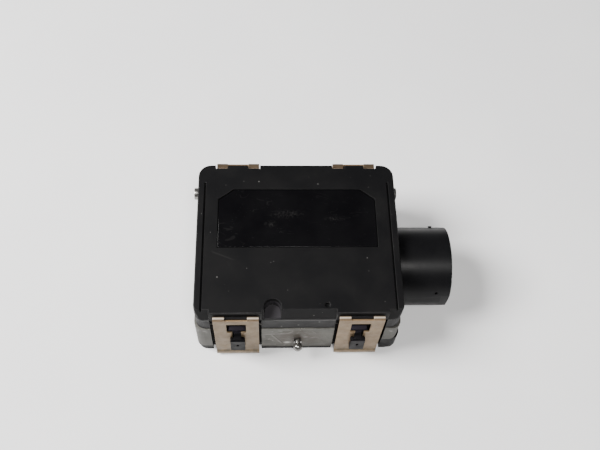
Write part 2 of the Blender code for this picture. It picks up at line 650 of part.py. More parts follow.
def build():
    build_cover()
    build_window()
    build_upper_frame()
    build_housing()
    build_rear_cover()
    for name, side_x, side_y in clip_places():
        build_clip(name, side_x, side_y)
        build_peg(name, side_x, side_y)
    build_ball_stud()
    build_side_pin("left", -1)
    build_side_pin("right", 1)
    build_connector()
    build_electronics()
    build_rear_fittings()


build()
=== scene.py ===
"""Looks of the driving distance sensor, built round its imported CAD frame.

Everything is in metres in the frame's own axes; MM turns millimetres into metres, and the
materials read their position in millimetres.
"""

import json
import math

import bmesh
import bpy
from mathutils import Matrix, Vector

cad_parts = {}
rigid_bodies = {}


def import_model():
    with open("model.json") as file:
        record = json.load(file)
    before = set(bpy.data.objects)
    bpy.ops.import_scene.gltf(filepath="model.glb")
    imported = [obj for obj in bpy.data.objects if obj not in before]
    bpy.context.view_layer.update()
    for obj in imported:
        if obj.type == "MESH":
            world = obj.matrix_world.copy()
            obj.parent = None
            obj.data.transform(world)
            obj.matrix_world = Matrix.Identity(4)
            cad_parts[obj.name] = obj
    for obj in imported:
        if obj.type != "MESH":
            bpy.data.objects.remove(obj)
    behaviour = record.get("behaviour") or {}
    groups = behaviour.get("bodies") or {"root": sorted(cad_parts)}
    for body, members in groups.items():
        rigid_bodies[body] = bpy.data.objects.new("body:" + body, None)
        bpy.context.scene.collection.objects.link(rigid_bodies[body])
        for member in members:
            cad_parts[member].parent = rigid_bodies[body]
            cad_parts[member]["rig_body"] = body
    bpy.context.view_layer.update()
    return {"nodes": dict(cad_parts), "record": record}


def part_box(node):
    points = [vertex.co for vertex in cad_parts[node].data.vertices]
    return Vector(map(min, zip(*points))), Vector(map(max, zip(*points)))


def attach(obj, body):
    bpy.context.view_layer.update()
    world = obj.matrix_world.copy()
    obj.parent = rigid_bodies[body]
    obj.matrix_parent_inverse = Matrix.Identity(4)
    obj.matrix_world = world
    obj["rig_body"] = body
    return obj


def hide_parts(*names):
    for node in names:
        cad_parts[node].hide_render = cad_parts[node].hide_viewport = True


MM = 0.001

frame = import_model()
nodes = frame["nodes"]
SLOTS = {row["node"]: row["material_slot"] for row in frame["record"]["subparts"]}


def face_mm(node, end, index):
    """One face of a node's box in millimetres: end 0 is its low side, end 1 its high side."""
    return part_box(node)[end][index] / MM


# Heights and faces that the finishes follow, in millimetres
COVER_TOP = face_mm("front_cover", 1, 2)
WINDOW_TOP = face_mm("window_panel", 1, 2)
FRAME_TOP = face_mm("upper_frame", 1, 2)
FRAME_FRONT = face_mm("upper_frame", 0, 1)
HOUSING_FOOT = face_mm("lower_housing", 0, 2)
HOUSING_FRONT = face_mm("lower_housing", 0, 1)
REAR_TOP = face_mm("rear_cover", 1, 2)
CLIP_TOP = face_mm("spring_clip_front_left", 1, 2)
CLIP_FOOT = face_mm("spring_clip_front_left", 0, 2)
CLIP_PLATE = 42.8            # outer face of a clip's plate, away from the middle plane
FINGER_HIGHLIGHT = -41.55        # middle of the painted highlight strip on the front fingers
PEG_SHELF = 22.9             # foot of the shelf behind the clips
PEG_SHELF_FRONT = 41.0
RAISED_CORNER = 40.5         # the rear cover's raised corner starts here along X
POCKET_DEPTH = (37.5, 40.2)  # clip pockets, away from the middle plane
POCKET_SPAN = (17.0, 42.2)   # clip pockets, to either side
PIN_SEAT = 49.2              # side face that a pivot pin's head rests on
BALL_RADIUS = 2.35
LIGHT_TARGET = (0.01, 0.0, 0.02)  # metres, as are the camera's and lights' places
CAMERA_PLACE = (-0.0152, -0.1774, 0.3896)
CAMERA_TURNS = ((-5.12, "Z"), (28.2, "X"), (4.41, "Z"))
SHARP_ANGLE = 32.0           # the angles are in degrees
TURNED_SHARP_ANGLE = 38.0
BEVEL_ANGLE = 40.0


class Paint:
    """A Principled material and the nodes that feed it."""

    def __init__(self, name, metallic=0.0, specular=0.5, coat=0.0):
        self.material = bpy.data.materials.new(name)
        self.material.use_nodes = True
        self.tree = self.material.node_tree
        self.shader = self.tree.nodes["Principled BSDF"]
        self.shader.inputs["Metallic"].default_value = metallic
        self.shader.inputs["Specular IOR Level"].default_value = specular
        self.shader.inputs["Coat Weight"].default_value = coat
        self.shader.inputs["Coat Roughness"].default_value = 0.12
        place = self.tree.nodes.new("ShaderNodeTexCoord")
        self.mm = self.vector("MULTIPLY", place.outputs["Object"], (1 / MM,) * 3)

    def feed(self, socket, value):
        if isinstance(value, bpy.types.NodeSocket):
            self.tree.links.new(value, socket)
        elif isinstance(value, (tuple, list)) and socket.type == "RGBA":
            socket.default_value = (*value[:3], 1.0)
        else:
            socket.default_value = value

    def vector(self, operation, first, second):
        node = self.tree.nodes.new("ShaderNodeVectorMath")
        node.operation = operation
        self.feed(node.inputs[0], first)
        self.feed(node.inputs[1], second)
        return node.outputs["Value" if operation == "LENGTH" else "Vector"]

    def math(self, operation, first, second=0.0):
        node = self.tree.nodes.new("ShaderNodeMath")
        node.operation = operation
        self.feed(node.inputs[0], first)
        self.feed(node.inputs[1], second)
        return node.outputs[0]

    def pick(self, vector, index):
        node = self.tree.nodes.new("ShaderNodeSeparateXYZ")
        self.feed(node.inputs[0], vector)
        return node.outputs[index]

    def axis(self, index):
        return self.pick(self.mm, index)

    def squeezed(self, factors, offset=(0.0, 0.0, 0.0)):
        return self.vector("ADD", self.vector("MULTIPLY", self.mm, factors), offset)

    def noise(self, scale, detail=3.0, roughness=0.55, distortion=0.0, place=None):
        node = self.tree.nodes.new("ShaderNodeTexNoise")
        self.feed(node.inputs["Vector"], self.mm if place is None else place)
        node.inputs["Scale"].default_value = scale
        node.inputs["Detail"].default_value = detail
        node.inputs["Roughness"].default_value = roughness
        node.inputs["Distortion"].default_value = distortion
        return node.outputs["Fac"]

    def cells(self, scale, feature="F1", place=None):
        node = self.tree.nodes.new("ShaderNodeTexVoronoi")
        node.feature = feature
        self.feed(node.inputs["Vector"], self.mm if place is None else place)
        node.inputs["Scale"].default_value = scale
        return node.outputs["Distance"]

    def step(self, value, start, end, low=0.0, high=1.0):
        """low before start, high after end, and smooth between them."""
        node = self.tree.nodes.new("ShaderNodeMapRange")
        node.interpolation_type = "SMOOTHSTEP"
        self.feed(node.inputs["Value"], value)
        node.inputs["From Min"].default_value = start
        node.inputs["From Max"].default_value = end
        node.inputs["To Min"].default_value = low
        node.inputs["To Max"].default_value = high
        return node.outputs["Result"]

    def band(self, value, middle, half, soft):
        """1 within half of the middle, falling to 0 over soft."""
        away = self.math("ABSOLUTE", self.math("SUBTRACT", value, middle))
        return self.step(away, half, half + soft, 1.0, 0.0)

    def blob(self, centre, radius, soft, factors=(1.0, 1.0, 1.0)):
        """1 inside a spot round a point in millimetres."""
        away = self.vector("MULTIPLY", self.vector("SUBTRACT", self.mm, centre), factors)
        return self.step(self.vector("LENGTH", away, (0, 0, 0)), radius, radius + soft, 1.0, 0.0)

    def mix(self, amount, first, second):
        node = self.tree.nodes.new("ShaderNodeMix")
        node.data_type = "RGBA"
        self.feed(node.inputs[0], amount)
        self.feed(node.inputs[6], first)
        self.feed(node.inputs[7], second)
        return node.outputs[2]

    def times(self, first, second):
        return self.math("MULTIPLY", first, second)

    def specks(self, scale, size, share):
        """Small scattered grains: cells' centres, where a coarser noise allows them."""
        grain = self.step(self.cells(scale), size * 0.5, size, 1.0, 0.0)
        where = self.step(self.noise(scale * 0.37, 1.0), 1.0 - share, 1.02 - share)
        return self.times(grain, where)

    def hairlines(self, scale, factors, width, share, offset=(0.0, 0.0, 0.0)):
        """Thin broken lines along the axis that factors squeezes."""
        place = self.squeezed(factors, offset)
        line = self.step(self.cells(scale, "DISTANCE_TO_EDGE", place), 0.0, width, 1.0, 0.0)
        where = self.step(self.noise(scale * 0.3, 2.0), 1.0 - share, 1.04 - share)
        return self.times(line, where)

    def finish(self, colour, roughness, height=None, depth=0.02, strength=1.0):
        self.feed(self.shader.inputs["Base Color"], colour)
        self.feed(self.shader.inputs["Roughness"], roughness)
        if height is not None:
            node = self.tree.nodes.new("ShaderNodeBump")
            node.inputs["Distance"].default_value = depth * MM
            node.inputs["Strength"].default_value = strength
            self.feed(node.inputs["Height"], height)
            self.tree.links.new(node.outputs["Normal"], self.shader.inputs["Normal"])
        return self.material


def moulded(name, dark, light, roughness, dust, specular):
    """Moulded plastic: fine grain, faint cloudiness and a little dust."""
    paint = Paint(name, specular=specular)
    cloud = paint.noise(0.06, 4.0)
    colour = paint.mix(paint.step(cloud, 0.35, 0.68), dark, light)
    pale = tuple(min(1.0, value * 4 + 0.05) for value in light)
    colour = paint.mix(paint.times(paint.specks(0.55, 0.13, dust), 0.5), colour, pale)
    rough = paint.step(paint.noise(0.3, 4.0), 0.3, 0.7, roughness - 0.06, roughness + 0.08)
    texture = paint.math("ADD", paint.noise(2.2, 2.0), paint.times(paint.noise(0.4, 2.0), 0.5))
    return paint.finish(colour, rough, texture, 0.035, 0.5)


def cover_black():
    """Matte black cover: fine spark texture, rubbed patches, a few pale dust grains and painted
    light inside the front notch.
    """
    paint = Paint("cover_black", specular=0.09)
    cloud = paint.noise(0.045, 5.0, 0.6)
    colour = paint.mix(paint.step(cloud, 0.35, 0.7), (0.0026, 0.0026, 0.0030),
                       (0.0040, 0.0039, 0.0041))
    rub = paint.times(paint.step(paint.noise(0.09, 6.0, 0.7, 0.8), 0.55, 0.75), 0.5)
    colour = paint.mix(rub, colour, (0.0062, 0.0060, 0.0060))
    dust = paint.specks(0.34, 0.085, 0.42)
    for centre, size in (((-18.8, 30.5, COVER_TOP), 0.42), ((10.7, 29.1, COVER_TOP), 0.35),
                         ((-38.3, -21.7, COVER_TOP), 0.4), ((6.9, -39.6, COVER_TOP - 4.8), 0.5),
                         ((33.0, -12.0, COVER_TOP), 0.3)):
        dust = paint.math("MAXIMUM", dust, paint.blob(centre, size * 0.5, size * 0.7))
    colour = paint.mix(paint.times(dust, 0.38), colour, (0.17, 0.165, 0.16))
    # painted light: the inside of the front notch is coloured paler, as if lit
    notch_painted_light = paint.times(paint.blob((-12.3, -36.7, 40.0), 4.1, 0.3, (1.0, 0.6, 0.0)),
                         paint.step(paint.axis(2), COVER_TOP - 2.9, COVER_TOP - 2.5, 1.0, 0.0))
    colour = paint.mix(notch_painted_light, colour, (0.024, 0.0225, 0.025))
    scuff = paint.hairlines(0.09, (0.25, 1.0, 1.0), 0.012, 0.36, (3.0, 0.0, 0.0))
    colour = paint.mix(paint.times(scuff, 0.12), colour, (0.05, 0.049, 0.047))
    rough = paint.step(cloud, 0.3, 0.7, 0.52, 0.62)
    texture = paint.math("ADD", paint.noise(3.2, 2.0), paint.times(dust, 0.8))
    return paint.finish(colour, rough, texture, 0.04, 0.5)


def window_black():
    """Glossy black window with faint wipe arcs, a few smudges and fine dust."""
    paint = Paint("window_black", specular=0.13)
    colour = paint.mix(paint.step(paint.noise(0.05, 3.0), 0.3, 0.7), (0.0019, 0.0018, 0.0022),
                       (0.0030, 0.0029, 0.0033))
    sweep = paint.noise(0.055, 2.0, 0.5, 1.6, paint.squeezed((0.55, 1.5, 1.0), (2.0, 5.0, 0.0)))
    arc_line = paint.times(paint.band(sweep, 0.5, 0.002, 0.006),
                           paint.step(paint.noise(0.16, 2.0), 0.50, 0.60))
    level = WINDOW_TOP - 0.55
    rubbed = paint.blob((-5.0, 12.0, level), 0.4, 5.0, (0.45, 1.6, 1.0))
    for centre, factors in (((-13.0, 6.5, level), (0.8, 1.2, 1.0)),
                            ((18.0, 9.3, level), (0.5, 1.8, 1.0))):
        rubbed = paint.math("MAXIMUM", rubbed, paint.blob(centre, 0.3, 3.0, factors))
    smudge = paint.times(rubbed, paint.step(paint.noise(0.8, 5.0, 0.7, 0.6), 0.42, 0.75))
    dust = paint.specks(0.45, 0.06, 0.36)
    marks = paint.math("MAXIMUM", paint.times(arc_line, 0.06), paint.times(smudge, 0.24))
    marks = paint.math("MAXIMUM", marks, paint.times(dust, 0.25))
    colour = paint.mix(marks, colour, (0.050, 0.048, 0.047))
    rough = paint.step(paint.noise(0.09, 5.0, 0.65), 0.35, 0.7, 0.17, 0.26)
    return paint.finish(colour, rough, marks, 0.02, 0.3)


def frame_grey():
    """Dark coated metal frame: orange-peel, thin patches, tiny pale chips and a painted highlight
    along its top edge.
    """
    paint = Paint("frame_grey", specular=0.10)
    cloud = paint.noise(0.12, 5.0, 0.6, 0.4)
    colour = paint.mix(paint.step(cloud, 0.3, 0.7), (0.0062, 0.0061, 0.0066),
                       (0.0108, 0.0106, 0.0109))
    chips = paint.specks(0.42, 0.10, 0.40)
    for x, z in ((0.0, 32.2), (9.8, 35.9), (-8.0, 30.4)):
        chip = paint.blob((x, FRAME_FRONT, z), 0.25, 0.4, (1.0, 1.0, 0.55))
        chips = paint.math("MAXIMUM", chips, chip)
    colour = paint.mix(paint.times(chips, 0.22), colour, (0.22, 0.215, 0.21))
    # painted highlight along the frame's top edge
    top_edge_highlight = paint.step(paint.axis(2), FRAME_TOP - 0.65, FRAME_TOP - 0.2)
    colour = paint.mix(paint.times(top_edge_highlight, 0.3), colour, (0.12, 0.12, 0.12))
    rough = paint.step(cloud, 0.3, 0.7, 0.44, 0.58)
    texture = paint.math("ADD", paint.noise(1.1, 3.0), paint.times(chips, -1.2))
    return paint.finish(colour, rough, texture, 0.06, 0.45)


def cast_aluminium():
    """Die-cast aluminium: flow lines, cold-shut wrinkles as painted highlight and shade lines,
    scratches and a painted brownish shadow and reflection of the ball stud.
    """
    paint = Paint("cast_aluminium", metallic=0.40, specular=0.2)
    cloud = paint.noise(0.10, 5.0, 0.6, 0.8)
    colour = paint.mix(paint.step(cloud, 0.3, 0.7), (0.060, 0.059, 0.052), (0.118, 0.115, 0.103))
    flow = paint.noise(0.085, 1.5, 0.45, 1.3, paint.squeezed((0.8, 1.0, 1.5), (4.0, 0.0, 9.0)))
    sheen = paint.step(flow, 0.40, 0.62)
    colour = paint.mix(paint.times(sheen, 0.25), colour, (0.150, 0.147, 0.134))
    # cold-shut wrinkles painted as a highlight line beside a painted shade line
    wrinkle_highlight = paint.band(flow, 0.53, 0.004, 0.022)
    shade = paint.band(flow, 0.49, 0.006, 0.022)
    marked = paint.blob((-8.0, HOUSING_FRONT, 15.0), 9.0, 14.0, (0.8, 1.0, 0.6))
    marked = paint.times(marked, paint.step(paint.noise(0.16, 2.0), 0.40, 0.60, 0.25, 1.0))
    colour = paint.mix(paint.times(wrinkle_highlight, paint.times(marked, 0.50)), colour,
                       (0.27, 0.265, 0.245))
    colour = paint.mix(paint.times(shade, paint.times(marked, 0.50)), colour,
                       (0.036, 0.033, 0.028))
    long_mark = paint.vector("SUBTRACT", paint.mm, (-9.6, HOUSING_FRONT, 15.0))
    slant = paint.vector("MULTIPLY", long_mark, (0.92, 0.0, 0.40))
    across = paint.math("ADD", paint.pick(slant, 0), paint.pick(slant, 2))
    along = paint.vector("LENGTH", paint.vector("MULTIPLY", long_mark, (1.0, 0.05, 1.0)), (0, 0, 0))
    gouge = paint.times(paint.band(across, 0.0, 0.10, 0.30), paint.step(along, 5.5, 7.5, 1.0, 0.0))
    scratch = paint.math(
        "MAXIMUM", gouge,
        paint.times(paint.hairlines(0.22, (0.5, 1.0, 1.6), 0.014, 0.45, (1.0, 0.0, 5.0)), 0.7))
    colour = paint.mix(paint.times(scratch, 0.75), colour, (0.026, 0.024, 0.021))
    lift = paint.times(paint.band(across, -0.75, 0.25, 0.5), paint.step(along, 4.5, 8.0, 1.0, 0.0))
    colour = paint.mix(paint.times(lift, 0.30), colour, (0.30, 0.295, 0.275))
    smear = paint.blob((-4.8, HOUSING_FRONT, 9.8), 0.2, 1.7, (0.65, 0.1, 1.1))
    colour = paint.mix(paint.times(smear, 0.8), colour, (0.50, 0.49, 0.455))
    # painted brownish shadow and reflection of the ball stud on the housing's front
    ball_shadow_and_reflection = paint.times(paint.blob((0.5, HOUSING_FRONT, 17.0), 3.0, 8.5, (0.70, 0.1, 0.8)),
                        paint.step(paint.noise(0.3, 4.0), 0.25, 0.6))
    colour = paint.mix(paint.times(ball_shadow_and_reflection, 0.80), colour, (0.056, 0.043, 0.034))
    # darker towards the housing's foot
    foot_darkening = paint.step(paint.axis(2), HOUSING_FOOT + 0.5, HOUSING_FOOT + 3.4, 0.45, 0.0)
    colour = paint.mix(foot_darkening, colour, (0.030, 0.027, 0.023))
    pits = paint.specks(0.8, 0.12, 0.45)
    colour = paint.mix(paint.times(pits, 0.4), colour, (0.040, 0.037, 0.033))
    outward = paint.math("ABSOLUTE", paint.axis(0))
    # painted shade: darker towards the front corners and over the sides
    side_shade = paint.step(outward, 38.5, 41.5, 0.0, 0.50)
    colour = paint.mix(side_shade, colour, (0.045, 0.043, 0.039))
    # paler patch at the front corners below the top edge: a painted highlight where the ledge
    # catches the light, with some rubbed wear
    rubbed = paint.times(paint.step(outward, 43.0, 46.0), paint.band(paint.axis(2), 25.2, 0.8, 1.6))
    rubbed = paint.times(rubbed, paint.step(paint.axis(1), -39.0, -36.0, 1.0, 0.0))
    rubbed = paint.times(rubbed, paint.step(paint.noise(0.35, 4.0), 0.42, 0.60, 0.0, 0.7))
    colour = paint.mix(rubbed, colour, (0.28, 0.275, 0.26))
    # near-black along the housing's lowest 2 mm at the corners and sides
    low = paint.step(paint.axis(2), HOUSING_FOOT + 1.6, HOUSING_FOOT + 2.0, 1.0, 0.0)
    dark_foot_strip = paint.times(paint.step(outward, 38.5, 40.5), low)
    colour = paint.mix(dark_foot_strip, colour, (0.0008, 0.0008, 0.0008))
    paint.feed(paint.shader.inputs["Metallic"], paint.step(dark_foot_strip, 0.0, 1.0, 0.40, 0.0))
    rough = paint.step(cloud, 0.3, 0.7, 0.50, 0.62)
    texture = paint.math("ADD", paint.noise(1.4, 4.0, 0.6), paint.times(flow, 1.5))
    texture = paint.math("SUBTRACT", texture, paint.math("ADD", pits, scratch))
    return paint.finish(colour, rough, texture, 0.10, 0.6)


def spring_steel(name="spring_steel", highlight_edges=False):
    """Bronze-tinted spring strip: faint rolling lines, heat tint at the bend, a darker mottled
    lower end that is partly a painted reflection of the shaded floor, a painted highlight on the
    finger tops and a painted floor reflection on the foot lip.
    """
    paint = Paint(name, metallic=0.65, specular=0.25)
    cloud = paint.noise(0.14, 5.0, 0.62, 0.5)
    colour = paint.mix(paint.step(cloud, 0.3, 0.7), (0.140, 0.094, 0.050), (0.200, 0.141, 0.082))
    rolling = paint.noise(1.0, 3.0, 0.6, 0.0, paint.squeezed((2.6, 1.0, 0.05)))
    colour = paint.mix(paint.step(rolling, 0.45, 0.75, 0.0, 0.22), colour, (0.130, 0.088, 0.055))
    height = paint.axis(2)
    # darker mottling towards the clip's foot, partly a painted reflection of the shaded floor
    mottle_and_floor_reflection = paint.times(paint.step(height, CLIP_FOOT + 0.7, CLIP_FOOT + 11.2, 1.0, 0.0),
                         paint.step(paint.noise(0.32, 5.0, 0.7, 0.6), 0.36, 0.66))
    colour = paint.mix(paint.times(mottle_and_floor_reflection, 0.80), colour, (0.040, 0.035, 0.024))
    # darker towards the left end of the part
    tarnish = paint.step(paint.axis(0), -22.0, 0.0, 0.22, 0.0)
    colour = paint.mix(tarnish, colour, (0.050, 0.046, 0.032))
    # painted reflection of the pale floor on the lip at the clip's foot
    lip_floor_reflection = paint.step(height, CLIP_FOOT + 1.8, CLIP_FOOT + 1.2)
    colour = paint.mix(paint.times(lip_floor_reflection, 0.25), colour, (0.42, 0.36, 0.29))
    bend = paint.band(height, CLIP_TOP - 0.95, 0.12, 0.5)
    colour = paint.mix(paint.times(bend, 0.55), colour, (0.17, 0.105, 0.055))
    flat_top = paint.step(height, CLIP_TOP - 0.35, CLIP_TOP - 0.1)
    colour = paint.mix(paint.times(flat_top, 0.85), colour, (0.075, 0.053, 0.036))
    # painted highlight along the top of the front fingers
    strip = paint.times(flat_top, paint.band(paint.axis(1), FINGER_HIGHLIGHT, 0.20, 0.35))
    colour = paint.mix(strip, colour, (0.46, 0.40, 0.33))
    spots = paint.specks(0.5, 0.13, 0.42)
    colour = paint.mix(paint.times(spots, 0.5), colour, (0.16, 0.115, 0.08))
    # paler edge finish: a painted highlight on the bends and edges
    if highlight_edges:
        colour = paint.mix(0.25, colour, (0.40, 0.33, 0.25))
    rough = paint.step(paint.noise(0.25, 5.0, 0.65), 0.3, 0.7, 0.40, 0.54)
    texture = paint.math("ADD", paint.times(rolling, 0.8), paint.noise(1.8, 2.0))
    return paint.finish(colour, rough, texture, 0.02, 0.4)


def polished(name, colour_low, colour_high, roughness, metallic):
    """Plated steel with turning marks and light tarnish."""
    paint = Paint(name, metallic=metallic)
    cloud = paint.noise(0.5, 4.0, 0.6, 0.5)
    colour = paint.mix(paint.step(cloud, 0.35, 0.7), colour_low, colour_high)
    rings = paint.noise(1.0, 2.0, 0.5, 0.0, paint.squeezed((0.4, 6.0, 0.4)))
    rough = paint.step(rings, 0.3, 0.7, roughness - 0.05, roughness + 0.10)
    return paint.finish(colour, rough, paint.math("ADD", rings, cloud), 0.012, 0.35)


def board_green():
    """Solder mask over copper: fine tracks seen as ridges, and a rough weave."""
    paint = Paint("board_green", specular=0.5, coat=0.3)
    tracks = paint.step(paint.cells(0.45, "DISTANCE_TO_EDGE"), 0.03, 0.06, 1.0, 0.0)
    colour = paint.mix(paint.step(paint.noise(0.1, 3.0), 0.3, 0.7), (0.010, 0.075, 0.035),
                       (0.014, 0.10, 0.05))
    colour = paint.mix(paint.times(tracks, 0.5), colour, (0.03, 0.20, 0.09))
    return paint.finish(colour, paint.step(paint.noise(0.5), 0.3, 0.7, 0.35, 0.5), tracks, 0.03)


def plain(name, dark, light, roughness, metallic=0.0):
    """A small inner piece: cloudy colour, fine grain, uneven gloss."""
    paint = Paint(name, metallic=metallic)
    colour = paint.mix(paint.step(paint.noise(0.3, 4.0), 0.35, 0.68), dark, light)
    rough = paint.step(paint.noise(0.6, 3.0), 0.3, 0.7, roughness - 0.06, roughness + 0.08)
    return paint.finish(colour, rough, paint.noise(0.8, 3.0), 0.03, 0.4)


def rear_plastic():
    """Rear cover: satin moulding whose thin rim under the housing is coloured near-black."""
    paint = Paint("rear_plastic", specular=0.08)
    cloud = paint.noise(0.06, 4.0)
    colour = paint.mix(paint.step(cloud, 0.35, 0.68), (0.0046, 0.0045, 0.0046),
                       (0.0078, 0.0076, 0.0077))
    colour = paint.mix(paint.times(paint.specks(0.55, 0.13, 0.25), 0.4), colour,
                       (0.06, 0.058, 0.056))
    # near-black on the thin rim under the housing and on the seam line at the top of the raised
    # corner
    near_black = (0.0010, 0.0010, 0.0011)
    raised = paint.step(paint.axis(0), RAISED_CORNER - 0.2, RAISED_CORNER + 0.2)
    rim = paint.step(paint.axis(0), RAISED_CORNER - 0.2, RAISED_CORNER + 0.2, 1.0, 0.0)
    dark_foot_strip = paint.times(rim, paint.step(paint.axis(2), 0.4, 0.8))
    colour = paint.mix(dark_foot_strip, colour, near_black)
    seam = paint.times(raised, paint.step(paint.axis(2), REAR_TOP - 0.7, REAR_TOP - 0.4))
    colour = paint.mix(seam, colour, near_black)
    rough = paint.step(paint.noise(0.3, 4.0), 0.3, 0.7, 0.40, 0.54)
    texture = paint.math("ADD", paint.noise(2.2, 2.0), paint.times(paint.noise(0.4, 2.0), 0.5))
    return paint.finish(colour, rough, texture, 0.035, 0.5)


def connector_plastic():
    """Smooth satin moulding of the plug shroud, rougher towards the back and darker there with
    painted shade.
    """
    paint = Paint("connector_plastic", specular=0.10)
    colour = paint.mix(paint.step(paint.noise(0.05, 3.0), 0.35, 0.68), (0.0030, 0.0030, 0.0034),
                       (0.0044, 0.0044, 0.0049))
    # painted shade: darker towards the back of the shroud
    back = paint.step(paint.axis(1), 4.0, 14.0)
    colour = paint.mix(paint.times(back, 0.8), colour, (0.0010, 0.0010, 0.0012))
    colour = paint.mix(paint.times(paint.specks(0.5, 0.08, 0.16), 0.3), colour, (0.07, 0.07, 0.07))
    rough = paint.step(paint.noise(0.12, 3.0), 0.3, 0.7, 0.33, 0.40)
    rough = paint.math("MAXIMUM", rough, paint.step(paint.axis(1), 4.0, 14.0, 0.0, 0.62))
    return paint.finish(colour, rough, paint.noise(1.1, 2.0), 0.012, 0.3)


def peg_plastic():
    """Dark violet-grey moulding of the clip pegs, with painted light behind the clip where the
    pegs' ledge lies in shade.
    """
    paint = Paint("peg_plastic", specular=0.06)
    cloud = paint.noise(0.10, 4.0)
    colour = paint.mix(paint.step(cloud, 0.35, 0.68), (0.0036, 0.0034, 0.0040),
                       (0.0062, 0.0057, 0.0068))
    inward = paint.step(paint.math("ABSOLUTE", paint.axis(1)), PEG_SHELF_FRONT,
                        PEG_SHELF_FRONT + 0.3, 1.0, 0.0)
    # painted light on the ledge behind the clip, which lies in shade
    shelf = paint.times(paint.step(paint.axis(2), PEG_SHELF - 0.4, PEG_SHELF), inward)
    colour = paint.mix(shelf, colour, (0.024, 0.021, 0.028))
    colour = paint.mix(paint.times(paint.specks(0.55, 0.13, 0.25), 0.4), colour,
                       (0.06, 0.058, 0.062))
    rough = paint.step(paint.noise(0.3, 4.0), 0.3, 0.7, 0.42, 0.54)
    return paint.finish(colour, rough, paint.noise(2.0, 3.0), 0.03, 0.5)


LOOKS = {
    "cover_black": cover_black(),
    "window_black": window_black(),
    "frame_grey": frame_grey(),
    "cast_aluminium": cast_aluminium(),
    "rear_plastic": rear_plastic(),
    "connector_plastic": connector_plastic(),
    "spring_steel": spring_steel(),
    "peg_plastic": peg_plastic(),
    "bright_steel": polished("bright_steel", (0.15, 0.146, 0.138), (0.30, 0.293, 0.28), 0.22, 0.9),
    "screw_steel": polished("screw_steel", (0.46, 0.45, 0.42), (0.60, 0.59, 0.56), 0.3, 1.0),
    "seal_rubber": plain("seal_rubber", (0.010, 0.010, 0.010), (0.016, 0.016, 0.016), 0.7),
    "board_green": board_green(),
    "chip_black": plain("chip_black", (0.012, 0.012, 0.012), (0.020, 0.020, 0.020), 0.5),
    "tinned_shield": plain("tinned_shield", (0.42, 0.42, 0.40), (0.58, 0.58, 0.56), 0.35, 0.9),
    "contact_gold": plain("contact_gold", (0.62, 0.42, 0.15), (0.80, 0.60, 0.26), 0.26, 1.0),
    "pad_blue": plain("pad_blue", (0.15, 0.22, 0.30), (0.22, 0.30, 0.40), 0.8),
    "membrane_white": plain("membrane_white", (0.62, 0.62, 0.60), (0.74, 0.74, 0.72), 0.8),
}
# Paler finishes for the rounded edges: painted edge highlights, with a little wear.
EDGES = {
    "cover_black": moulded("cover_edge_highlight", (0.0050, 0.0050, 0.0053), (0.0090, 0.0088, 0.0088), 0.42,
                           0.1, 0.11),
    "frame_grey": plain("frame_edge_highlight", (0.024, 0.024, 0.025), (0.046, 0.045, 0.044), 0.42, 0.1),
    "cast_aluminium": plain("aluminium_edge_highlight", (0.11, 0.108, 0.098), (0.20, 0.196, 0.18), 0.42, 0.4),
    "spring_steel": spring_steel("spring_edge_highlight", highlight_edges=True),
}

POCKET_SHADE = moulded("pocket_shade", (0.0014, 0.0013, 0.0013), (0.0024, 0.0022, 0.0021), 0.60,
                       0.12, 0.04)


def look_of(name):
    """The finish of a node's slot; the connector shares the rear cover's slot but is smoother."""
    return LOOKS["connector_plastic" if name == "connector_shroud" else SLOTS[name]]


def dress_frame():
    """Every CAD node gets its finish, also those that a finer piece stands for."""
    for name, item in nodes.items():
        item.data.materials.clear()
        item.data.materials.append(look_of(name))


def add_piece(name, mesh, node, materials):
    """A finer piece that stands for a CAD node and moves with the node's body."""
    piece = bpy.data.objects.new(name, mesh)
    bpy.context.scene.collection.objects.link(piece)
    for material in materials:
        mesh.materials.append(material)
    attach(piece, nodes[node]["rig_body"])
    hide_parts(node)
    return piece


def clean_copy(node):
    """The node's shape with its doubled points and flat seams taken out."""
    bm = bmesh.new()
    bm.from_mesh(nodes[node].data)
    bmesh.ops.remove_doubles(bm, verts=bm.verts, dist=0.002 * MM)
    bmesh.ops.dissolve_limit(bm, angle_limit=math.radians(0.8), verts=bm.verts, edges=bm.edges)
    return bm


def in_pocket(centre):
    """Whether a face of the frame or housing lies inside one of the four clip pockets."""
    return (POCKET_DEPTH[0] * MM < abs(centre.y) < POCKET_DEPTH[1] * MM
            and POCKET_SPAN[0] * MM < abs(centre.x) < POCKET_SPAN[1] * MM)


def polish(node, width, before=None):
    """Rounds the node's edges; where its slot has a paler edge finish, a painted edge highlight,
    the rounded faces take it.
    """
    bm = clean_copy(node)
    if before:
        before(bm)
    slot = SLOTS[node]
    finishes = [look_of(node)]
    if slot in EDGES:
        finishes.append(EDGES[slot])
    if node in ("upper_frame", "lower_housing"):
        finishes.append(POCKET_SHADE)
        for face in bm.faces:
            if in_pocket(face.calc_center_median()):
                face.material_index = 2
    mesh = bpy.data.meshes.new(f"{node}_surface")
    bm.to_mesh(mesh)
    bm.free()
    mesh.shade_smooth()
    mesh.set_sharp_from_angle(angle=math.radians(SHARP_ANGLE))
    piece = add_piece(f"{node}_body", mesh, node, finishes)
    rounding = piece.modifiers.new("rounded_edges", "BEVEL")
    rounding.width = width * MM
    rounding.segments = 2
    rounding.limit_method = "ANGLE"
    rounding.angle_limit = math.radians(BEVEL_ANGLE)
    rounding.use_clamp_overlap = True
    if len(finishes) > 1:
        rounding.material = 1
    evening = piece.modifiers.new("even_shading", "WEIGHTED_NORMAL")
    evening.mode = "FACE_AREA"
    evening.weight = 50
    evening.keep_sharp = True
    return piece


